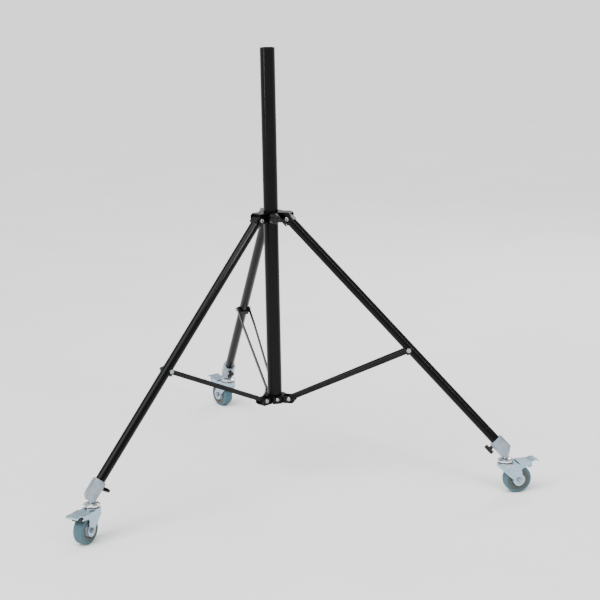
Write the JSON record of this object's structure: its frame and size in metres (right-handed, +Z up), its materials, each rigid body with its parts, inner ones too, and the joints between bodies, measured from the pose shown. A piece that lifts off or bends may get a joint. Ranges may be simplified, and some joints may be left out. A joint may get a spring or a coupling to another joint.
{
  "type": "background support stand base",
  "caption": "Wheeled folding tripod base with a round column, a sliding clamp collar, tubular legs with paired flat braces and braked swivel casters.",
  "frame": {"origin": "on the floor, on the column's axis", "axes": "+Z up along the column, +X to the viewer's right, -Y towards the viewer"},
  "size_m": [1.2329, 1.2448, 1.19],
  "materials": {
    "black_gloss": "glossy black powder coat on the column, the legs and the collar",
    "black_satin": "satin black paint on the hub casting and the brace clips",
    "bar_grey": "matte dark grey coated flat bar",
    "socket_silver": "silver-grey paint on a cast socket",
    "bright_steel": "bright plated bolts, screws and axle",
    "zinc": "blue-white zinc plated pressed steel",
    "chrome": "bright chrome plated turned stem and cap",
    "black_plastic": "moulded black plastic",
    "hub_plastic": "light grey moulded wheel centre",
    "tyre_rubber": "grey-blue thermoplastic rubber tread",
    "pad_rubber": "black rubber"
  },
  "bodies": {
    "column": {"column_tube": "black_gloss", "column_end_plug": "black_plastic", "lower_hub": "black_satin", "lower_hub_fasteners": "bright_steel"},
    "collar": {"collar_body": "black_gloss", "collar_liner": "black_plastic", "upper_pivot_bolts": "bright_steel"},
    "knob": {"clamp_knob": "black_plastic", "clamp_screw": "bright_steel"},
    "right_leg": {"right_leg_tube": "black_gloss", "right_leg_top_fitting": "black_plastic", "right_brace_clip": "black_satin", "right_caster_socket": "socket_silver", "right_caster_stem": "chrome"},
    "right_brace": {"right_brace_bar_near": "bar_grey", "right_brace_bar_far": "bar_grey", "right_brace_rivets": "bright_steel"},
    "right_thumb_screw": {"right_thumb_screw_wing": "black_plastic", "right_thumb_screw_stud": "bright_steel"},
    "right_fork": {"right_caster_fork": "zinc", "right_axle_bolt": "bright_steel", "right_swivel_bearing": "bright_steel"},
    "right_wheel": {"right_wheel_hub": "hub_plastic", "right_tyre": "tyre_rubber"},
    "right_pedal": {"right_brake_pedal": "zinc", "right_brake_pad": "pad_rubber"},
    "rear_leg": {"rear_leg_tube": "black_gloss", "rear_leg_top_fitting": "black_plastic", "rear_brace_clip": "black_satin", "rear_caster_socket": "socket_silver", "rear_caster_stem": "chrome"},
    "rear_brace": {"rear_brace_bar_near": "bar_grey", "rear_brace_bar_far": "bar_grey", "rear_brace_rivets": "bright_steel"},
    "rear_thumb_screw": {"rear_thumb_screw_wing": "black_plastic", "rear_thumb_screw_stud": "bright_steel"},
    "rear_fork": {"rear_caster_fork": "zinc", "rear_axle_bolt": "bright_steel", "rear_swivel_bearing": "bright_steel"},
    "rear_wheel": {"rear_wheel_hub": "hub_plastic", "rear_tyre": "tyre_rubber"},
    "rear_pedal": {"rear_brake_pedal": "zinc", "rear_brake_pad": "pad_rubber"},
    "left_leg": {"left_leg_tube": "black_gloss", "left_leg_top_fitting": "black_plastic", "left_brace_clip": "black_satin", "left_caster_socket": "socket_silver", "left_caster_stem": "chrome"},
    "left_brace": {"left_brace_bar_near": "bar_grey", "left_brace_bar_far": "bar_grey", "left_brace_rivets": "bright_steel"},
    "left_thumb_screw": {"left_thumb_screw_wing": "black_plastic", "left_thumb_screw_stud": "bright_steel"},
    "left_fork": {"left_caster_fork": "zinc", "left_axle_bolt": "bright_steel", "left_swivel_bearing": "bright_steel"},
    "left_wheel": {"left_wheel_hub": "hub_plastic", "left_tyre": "tyre_rubber"},
    "left_pedal": {"left_brake_pedal": "zinc", "left_brake_pad": "pad_rubber"}
  },
  "joints": [
    {"name": "collar_slide", "type": "slide", "parent": "column", "child": "collar", "axis": [0, 0, 1], "range_m": [0, 0.33278]},
    {"name": "clamp_knob_turn", "type": "hinge", "parent": "collar", "child": "knob", "pos_m": [0.00484, -0.01941, 0.738], "axis": [0.2419, -0.9703, 0], "range_deg": [0, 270]},
    {"name": "right_leg_fold", "type": "hinge", "parent": "collar", "child": "right_leg", "pos_m": [0.0471, -0.01351, 0.734], "axis": [0.2756, 0.9613, 0], "range_deg": [-0.05, 34.05]},
    {"name": "right_brace_fold", "type": "hinge", "parent": "column", "child": "right_brace", "pos_m": [0.0423, -0.01213, 0.227], "axis": [0.2756, 0.9613, 0], "range_deg": [-51.14, 0.05]},
    {"name": "right_thumb_screw_turn", "type": "hinge", "parent": "right_leg", "child": "right_thumb_screw", "pos_m": [0.59815, -0.17152, 0.14038], "axis": [-0.6915, 0.1983, -0.6947], "range_deg": [0, 450]},
    {"name": "right_caster_swivel", "type": "hinge", "parent": "right_leg", "child": "right_fork", "pos_m": [0.61905, -0.17751, 0.081], "axis": [0, 0, 1], "continuous": true},
    {"name": "right_wheel_spin", "type": "hinge", "parent": "right_fork", "child": "right_wheel", "pos_m": [0.65107, -0.16953, 0.0375], "axis": [-0.2419, 0.9703, 0], "continuous": true},
    {"name": "right_brake_pedal", "type": "hinge", "parent": "right_fork", "child": "right_pedal", "pos_m": [0.65786, -0.16783, 0.0785], "axis": [-0.2419, 0.9703, 0], "range_deg": [0, 7]},
    {"name": "rear_leg_fold", "type": "hinge", "parent": "collar", "child": "rear_leg", "pos_m": [-0.01185, 0.04754, 0.734], "axis": [-0.9703, -0.2419, 0], "range_deg": [-0.05, 34.05]},
    {"name": "rear_brace_fold", "type": "hinge", "parent": "column", "child": "rear_brace", "pos_m": [-0.01064, 0.04269, 0.227], "axis": [-0.9703, -0.2419, 0], "range_deg": [-51.14, 0.05]},
    {"name": "rear_thumb_screw_turn", "type": "hinge", "parent": "rear_leg", "child": "rear_thumb_screw", "pos_m": [-0.15054, 0.60377, 0.14038], "axis": [0.174, -0.698, -0.6947], "range_deg": [0, 450]},
    {"name": "rear_caster_swivel", "type": "hinge", "parent": "rear_leg", "child": "rear_fork", "pos_m": [-0.1558, 0.62487, 0.081], "axis": [0, 0, 1], "continuous": true},
    {"name": "rear_wheel_spin", "type": "hinge", "parent": "rear_fork", "child": "rear_wheel", "pos_m": [-0.17611, 0.65087, 0.0375], "axis": [-0.788, -0.6157, 0], "continuous": true},
    {"name": "rear_brake_pedal", "type": "hinge", "parent": "rear_fork", "child": "rear_pedal", "pos_m": [-0.18042, 0.65639, 0.0785], "axis": [-0.788, -0.6157, 0], "range_deg": [0, 7]},
    {"name": "left_leg_fold", "type": "hinge", "parent": "collar", "child": "left_leg", "pos_m": [-0.03525, -0.03404, 0.734], "axis": [0.6947, -0.7193, 0], "range_deg": [-0.05, 34.05]},
    {"name": "left_brace_fold", "type": "hinge", "parent": "column", "child": "left_brace", "pos_m": [-0.03165, -0.03056, 0.227], "axis": [0.6947, -0.7193, 0], "range_deg": [-51.14, 0.05]},
    {"name": "left_thumb_screw_turn", "type": "hinge", "parent": "left_leg", "child": "left_thumb_screw", "pos_m": [-0.44761, -0.43226, 0.14038], "axis": [0.5174, 0.4997, -0.6947], "range_deg": [0, 450]},
    {"name": "left_caster_swivel", "type": "hinge", "parent": "left_leg", "child": "left_fork", "pos_m": [-0.46325, -0.44736, 0.081], "axis": [0, 0, 1], "continuous": true},
    {"name": "left_wheel_spin", "type": "hinge", "parent": "left_fork", "child": "left_wheel", "pos_m": [-0.47824, -0.47676, 0.0375], "axis": [0.891, -0.454, 0], "continuous": true},
    {"name": "left_brake_pedal", "type": "hinge", "parent": "left_fork", "child": "left_pedal", "pos_m": [-0.48141, -0.483, 0.0785], "axis": [0.891, -0.454, 0], "range_deg": [0, 7]}
  ],
  "couplings": [
    {"joint": "right_leg_fold", "follows": "collar_slide", "rad_per_m": 1.7832},
    {"joint": "right_brace_fold", "follows": "collar_slide", "rad_per_m": -2.6797},
    {"joint": "rear_leg_fold", "follows": "collar_slide", "rad_per_m": 1.7832},
    {"joint": "rear_brace_fold", "follows": "collar_slide", "rad_per_m": -2.6797},
    {"joint": "left_leg_fold", "follows": "collar_slide", "rad_per_m": 1.7832},
    {"joint": "left_brace_fold", "follows": "collar_slide", "rad_per_m": -2.6797}
  ]
}
